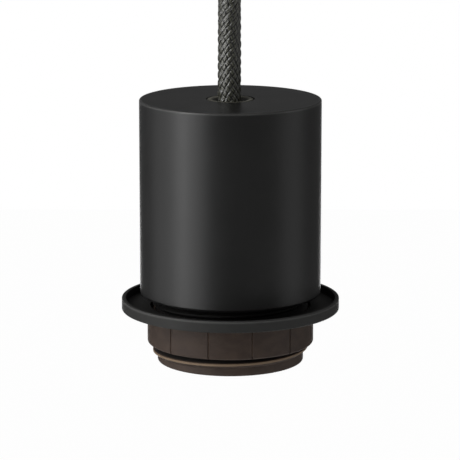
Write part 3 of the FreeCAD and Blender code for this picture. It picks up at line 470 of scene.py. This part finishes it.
def brown_moulding(name, crest=None, groove=None):
    """Brown-black phenolic moulding with clouded flow.

    crest is the radius of a thread's crests: they get a painted highlight below the ring, the roots
    just under the ring get painted shade, and so does the shell inside the cup.
    groove is the outer radius of a fluted ring, whose grooves are painted paler: painted light that
    lifts the shade in them.
    """
    finish = Finish(name)
    place = finish.place()
    flow = finish.noise(finish.stretched(place, 1.0, 1.0, 1.8), 240.0, 4.0, 0.6)
    speck = finish.noise(place, 2600.0, 2.0)
    colour = finish.mixed(flow.between(0.3, 0.72), tint(54, 42, 35), tint(66, 53, 45))
    paler = speck.between(0.62, 0.8) * 0.35
    colour = finish.mixed(paler, colour, tint(86, 71, 60))
    radius, height = finish.round_axis(place)
    if crest:
        # Painted shade: the thread's roots just under the ring are painted near black.
        shade_band_under_ring = height.between(RING_FOOT - 2.1 * MM, RING_FOOT - 1.6 * MM)
        root_shade = 1 - radius.between(crest - 0.45 * MM, crest - 0.2 * MM)
        colour = finish.mixed(shade_band_under_ring * root_shade * 0.95, colour, tint(10, 8, 7))
        # Painted highlight: a pale line along the thread's crests below the ring.
        below_ring = 1 - height.between(RING_FOOT - 0.3 * MM, RING_FOOT)
        painted_highlight = radius.between(crest - 0.16 * MM, crest - 0.04 * MM) * below_ring * (0.6 + flow * 0.5)
        colour = finish.mixed(painted_highlight, colour, tint(130, 110, 89))
        # Painted shade: the shell inside the dished ring's cup is painted near black.
        painted_shade_in_cup = height.between(DISH_FLOOR - 1.0 * MM, DISH_FLOOR)
        colour = finish.mixed(painted_shade_in_cup, colour, tint(12, 11, 10))
    if groove:
        # Painted light: the grooves are painted paler so that their shade shows less.
        deep = 1 - radius.between(groove - 0.3 * MM, groove - 0.12 * MM)
        painted_groove_light = deep * height.between(RING_FOOT + 0.5 * MM, RING_FOOT + 0.9 * MM)
        colour = finish.mixed(painted_groove_light * 0.9, colour, tint(108, 92, 80))
    roughness = 0.66 + (flow - 0.5) * 0.16 + (speck - 0.5) * 0.08
    normal = finish.bump(speck + flow, 0.014 * MM, 0.5)
    return finish.surface(
        base_color=colour, roughness=roughness, normal=normal, specular_ior_level=0.35
    )


def pale_moulding():
    """Pale insulating moulding with a slightly mottled, matt face."""
    finish = Finish("pale_insulating_moulding")
    place = finish.place()
    mottle = finish.noise(place, 420.0, 4.0)
    grain = finish.noise(place, 3800.0, 2.0)
    colour = finish.mixed(mottle.between(0.3, 0.7), tint(214, 208, 194), tint(232, 228, 218))
    roughness = 0.5 + (mottle - 0.5) * 0.2
    normal = finish.bump(grain + mottle, 0.015 * MM, 0.5)
    return finish.surface(base_color=colour, roughness=roughness, normal=normal)


def plated_metal(name, dark, light, rough):
    """Plated or bare metal with fine drawn streaks and clouding."""
    finish = Finish(name)
    place = finish.place()
    streak = finish.noise(finish.stretched(place, 1.0, 1.0, 9.0), 900.0, 4.0, 0.65)
    cloud = finish.noise(place, 160.0, 3.0)
    colour = finish.mixed(cloud * 0.6 + streak * 0.4, tint(*dark), tint(*light))
    roughness = rough + (streak - 0.5) * 0.18 + (cloud - 0.5) * 0.12
    normal = finish.bump(streak, 0.008 * MM, 0.5)
    return finish.surface(base_color=colour, metallic=1.0, roughness=roughness, normal=normal)


def threaded_metal(name, dark, light, rough, pitch):
    """Plated metal with a fine thread cut round its upright axis."""
    finish = Finish(name)
    place = finish.place()
    x, y, z = finish.axes(place)
    turn = y.bearing(x) / TURN
    cloud = finish.noise(place, 300.0, 3.0)
    climb = (z / pitch - turn).fraction()
    ridge = (climb - 0.5).size() * 2
    colour = finish.mixed(cloud * 0.5 + ridge * 0.5, tint(*dark), tint(*light))
    normal = finish.bump(ridge, 0.3 * MM, 1.0)
    roughness = rough + (cloud - 0.5) * 0.2
    return finish.surface(base_color=colour, metallic=1.0, roughness=roughness, normal=normal)


def core_insulation(name, dark, light, stripe=None):
    """Smooth insulation with a slight cloudiness, and a stripe on the earth core."""
    finish = Finish(name)
    place = finish.place()
    cloud = finish.noise(place, 500.0, 3.0)
    colour = finish.mixed(cloud, tint(*dark), tint(*light))
    if stripe:
        x, y, _ = finish.axes(place)
        band = ((x + y) / (2.0 * MM)).fraction()
        colour = finish.mixed(band.between(0.46, 0.54), colour, tint(*stripe))
    roughness = 0.38 + (cloud - 0.5) * 0.15
    normal = finish.bump(cloud, 0.02 * MM, 0.4)
    return finish.surface(base_color=colour, roughness=roughness, normal=normal)


def fibres(finish, across, along):
    """Fine fibres that run along a strand."""
    strand = finish.add("ShaderNodeCombineXYZ", None, {0: across * 40.0, 1: along * 2.0})
    return finish.noise(strand, 1.0, 3.0)


def braided_textile():
    """Charcoal yarns: each strand that braid_radius lays is a few silky threads side by side, with a
    painted highlight on the thread crowns and painted shade in the hollows between strands.
    """
    finish = Finish("charcoal_braid")
    place = finish.place()
    x, y, z = finish.axes(place)
    away = (z - SWAY_HEIGHT) / SWAY_LENGTH
    sway = ((away * away + 1) ** 0.5 - 1) * SWAY_TURN
    turn = y.bearing(x - CABLE_AXIS) - sway
    round_place = turn * (BRAID_STRANDS / TURN)
    rise = z / BRAID_REPEAT
    right, left = round_place + rise, round_place - rise
    crossing = (right * math.pi).sine() * (left * math.pi).sine()
    wave = crossing / (crossing.size() ** 0.5 + 0.05) * BRAID_WAVE
    lean = (turn - SEAM_TURN + math.pi / 2).sine() * BRAID_LEAN
    over = (wave + lean).between(-0.012 * MM, 0.012 * MM)
    threads = 2
    right_rib = (right * (threads * math.pi)).sine().size()
    left_rib = (left * (threads * math.pi)).sine().size()
    rib = over * right_rib + (1 - over) * left_rib
    fibre_right = fibres(finish, right, left)
    fibre_left = fibres(finish, left, right)
    fibre = over * fibre_right + (1 - over) * fibre_left
    # Painted shade: the hollows between strands are painted near black.
    hollow_shade_mask = (right * math.pi).sine().size().at_most((left * math.pi).sine().size())
    # Painted highlight on the thread crowns, mixed with the fibres' own tone.
    crown_highlight_and_fibre = rib * 0.5 + fibre * 0.5
    colour = finish.mixed(crown_highlight_and_fibre.between(0.2, 0.8), tint(36, 36, 30), tint(98, 98, 86))
    colour = finish.mixed(hollow_shade_mask.between(0.1, 0.75), tint(9, 9, 8), colour)
    roughness = 0.3 + (fibre - 0.5) * 0.25
    normal = finish.bump(rib * 0.7 + fibre * 0.3, 0.06 * MM, 0.7)
    return finish.surface(
        base_color=colour, roughness=roughness, normal=normal, specular_ior_level=1.0
    )


def dress(material, *names):
    """Gives a material to each of the named pieces."""
    for name in names:
        for place in nodes[name].material_slots:
            place.material = material


def outer_corner(name, end):
    """Radius and height of a turned piece's outer corner: lower for end 0, upper for end 1."""
    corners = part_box(name)
    return corners[1][0], corners[end][2]


def dress_all():
    """Gives every piece its finish."""
    dress(black_lacquer("satin_black_cup", outer_corner("metal_cup", 1)), "metal_cup")
    dress(black_lacquer("satin_black_ceiling_cup", outer_corner("ceiling_cup", 0)), "ceiling_cup")
    dish = black_lacquer(
        "satin_black_ring",
        outer_corner("dished_ring", 1),
        dark=(40, 40, 39),
        light=(50, 50, 49),
        corner_highlight=(72, 72, 71),
        rough=0.63,
        shine=0.28,
    )
    dress(dish, "dished_ring")
    dress(black_nylon(), "grip_collar", "ceiling_grip_collar")
    dress(brown_moulding("brown_phenolic_cap"), "holder_cap")
    dress(brown_moulding("brown_phenolic_shell", crest=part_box("outer_shell")[1][0]), "outer_shell")
    dress(brown_moulding("brown_phenolic_ring", groove=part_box("shade_ring")[1][0]), "shade_ring")
    dress(pale_moulding(), "contact_block", "connector_block")
    zinc = plated_metal("zinc_plate", (168, 170, 172), (204, 205, 203), 0.36)
    dress(zinc, "lock_nut", "earth_tag", "earth_screw", "ceiling_bracket")
    dress(plated_metal("screw_zinc", (176, 177, 178), (212, 212, 210), 0.32), "terminal_screws")
    small_zinc = plated_metal("small_screw_zinc", (172, 174, 176), (206, 207, 205), 0.34)
    dress(small_zinc, "connector_clamp_screws", "connector_fixing_screws")
    thread = threaded_metal("threaded_zinc", (150, 152, 154), (210, 211, 210), 0.34, 1.0 * MM)
    dress(thread, "threaded_tube")
    dress(plated_metal("blackened_steel", (38, 38, 38), (58, 58, 57), 0.42), "ceiling_side_screws")
    dark_steel = plated_metal("dark_screw_steel", (44, 44, 44), (62, 62, 60), 0.4)
    dress(dark_steel, "grip_screw", "ceiling_grip_screw")
    brass = plated_metal("contact_brass", (188, 148, 84), (214, 178, 112), 0.3)
    dress(brass, "live_terminal", "neutral_terminal", "centre_contact")
    nickel = plated_metal("nickel_plate", (184, 182, 176), (214, 212, 206), 0.24)
    dress(nickel, "thread_sleeve", "sleeve_rivets")
    dress(core_insulation("brown_insulation", (98, 58, 34), (120, 74, 46)), "live_core")
    dress(core_insulation("blue_insulation", (36, 78, 150), (52, 98, 172)), "neutral_core")
    green = core_insulation("green_yellow_insulation", (44, 120, 52), (58, 140, 66), (220, 200, 40))
    dress(green, "earth_core")
    cable.data.materials.append(braided_textile())
    wire = plated_metal("spring_wire_steel", (150, 150, 150), (190, 190, 188), 0.28)
    spring.data.materials.append(wire)


dress_all()


# ---- studio ----

# In metres: the height that the panels face, the floor's height and half its width.
AIM_HEIGHT = -0.09
FLOOR_HEIGHT = -1.3
FLOOR_HALF = 6.0


def softbox(name, azimuth, elevation, distance, width, height, radiance):
    """A soft panel that faces the lamp holder; azimuth counts to the right from the camera's side."""
    lamp = bpy.data.lights.new(name, "AREA")
    lamp.shape = "RECTANGLE"
    lamp.size = width
    lamp.size_y = height
    lamp.energy = radiance * math.pi * width * height
    panel = bpy.data.objects.new(name, lamp)
    turn, lift = math.radians(azimuth), math.radians(elevation)
    reach = distance * math.cos(lift)
    rise = distance * math.sin(lift)
    panel.location = (reach * math.sin(turn), -reach * math.cos(turn), rise + AIM_HEIGHT)
    panel.rotation_euler = (math.pi / 2 - lift, 0, turn)
    panel.visible_camera = False
    bpy.context.scene.collection.objects.link(panel)


def light_studio():
    """One bright side from the left, soft fills round the rest."""
    softbox("left_softbox", -66, 14, 2.0, 1.0, 2.4, 1.2)
    softbox("left_strip", -63, 14, 2.0, 0.26, 2.4, 6.2)
    softbox("left_front_fill", -44, 14, 2.0, 0.9, 2.4, 2.1)
    softbox("left_back_fill", -95, 8, 2.0, 1.25, 3.0, 0.7)
    softbox("right_softbox", 84, 8, 2.0, 1.3, 3.0, 0.47)
    softbox("low_right_softbox", 66, -56, 1.5, 1.4, 0.7, 4.8)
    softbox("overhead_softbox", 25, 56, 2.0, 1.2, 0.9, 0.2)
    softbox("back_softbox", 180, -26, 2.0, 1.4, 1.0, 3.0)
    softbox("back_overhead_softbox", 180, 74, 2.0, 1.0, 0.6, 0.6)


def paint_world():
    """A pale surround: white to the eye and behind the holder in gloss, soft grey elsewhere."""
    world = bpy.data.worlds.new("surround")
    bpy.context.scene.world = world
    finish = Finish("surround", world)
    direction = finish.add("ShaderNodeTexCoord", output="Generated")
    straight_behind = (0, math.cos(CAMERA_DIP), -math.sin(CAMERA_DIP))
    sockets = {0: direction, 1: straight_behind}
    towards = finish.add("ShaderNodeVectorMath", {"operation": "DOT_PRODUCT"}, sockets, "Value")
    behind = towards.between(math.cos(math.radians(20)), math.cos(math.radians(8)))
    seen = seen_by_eye(finish, behind)
    strength = 0.1 + seen * 0.9
    shader = finish.add("ShaderNodeBackground", None, {"Color": (1, 1, 1, 1), "Strength": strength})
    finish.add("ShaderNodeOutputWorld", None, {"Surface": shader})


def seen_by_eye(finish, behind):
    """1 for camera and transmitted rays, and for glossy rays that end behind the holder."""
    camera = finish.add("ShaderNodeLightPath", output="Is Camera Ray")
    through = finish.add("ShaderNodeLightPath", output="Is Transmission Ray")
    glossy = finish.add("ShaderNodeLightPath", output="Is Glossy Ray")
    return camera.at_least(through).at_least(glossy * behind)


def lay_floor():
    """A pale matt floor far below, all but white to the eye, so a shadow on it hardly shows."""
    corners = [(-1, -1), (1, -1), (1, 1), (-1, 1)]
    points = [(x * FLOOR_HALF, y * FLOOR_HALF, FLOOR_HEIGHT) for x, y in corners]
    floor = piece_from("floor", points, [(0, 1, 2, 3)], smooth=False)
    finish = Finish("pale_floor")
    place = finish.place()
    x, y, _ = finish.axes(place)
    behind = y.between(2.5, 4.5) * (1 - x.size().between(0.7, 2.0))
    seen = seen_by_eye(finish, behind)
    speck = finish.noise(place, 40.0, 3.0)
    colour = finish.mixed(speck, tint(240, 240, 239), tint(248, 248, 247))
    matt = finish.add("ShaderNodeBsdfDiffuse", None, {"Color": colour})
    glow = finish.add("ShaderNodeEmission", None, {"Color": (1, 1, 1, 1), "Strength": 1.0})
    shader = finish.add("ShaderNodeMixShader", None, {0: seen * 0.985, 1: matt, 2: glow})
    finish.add("ShaderNodeOutputMaterial", None, {"Surface": shader})
    floor.data.materials.append(finish.owner)


light_studio()
paint_world()
lay_floor()

bpy.context.scene.view_settings.view_transform = "Standard"
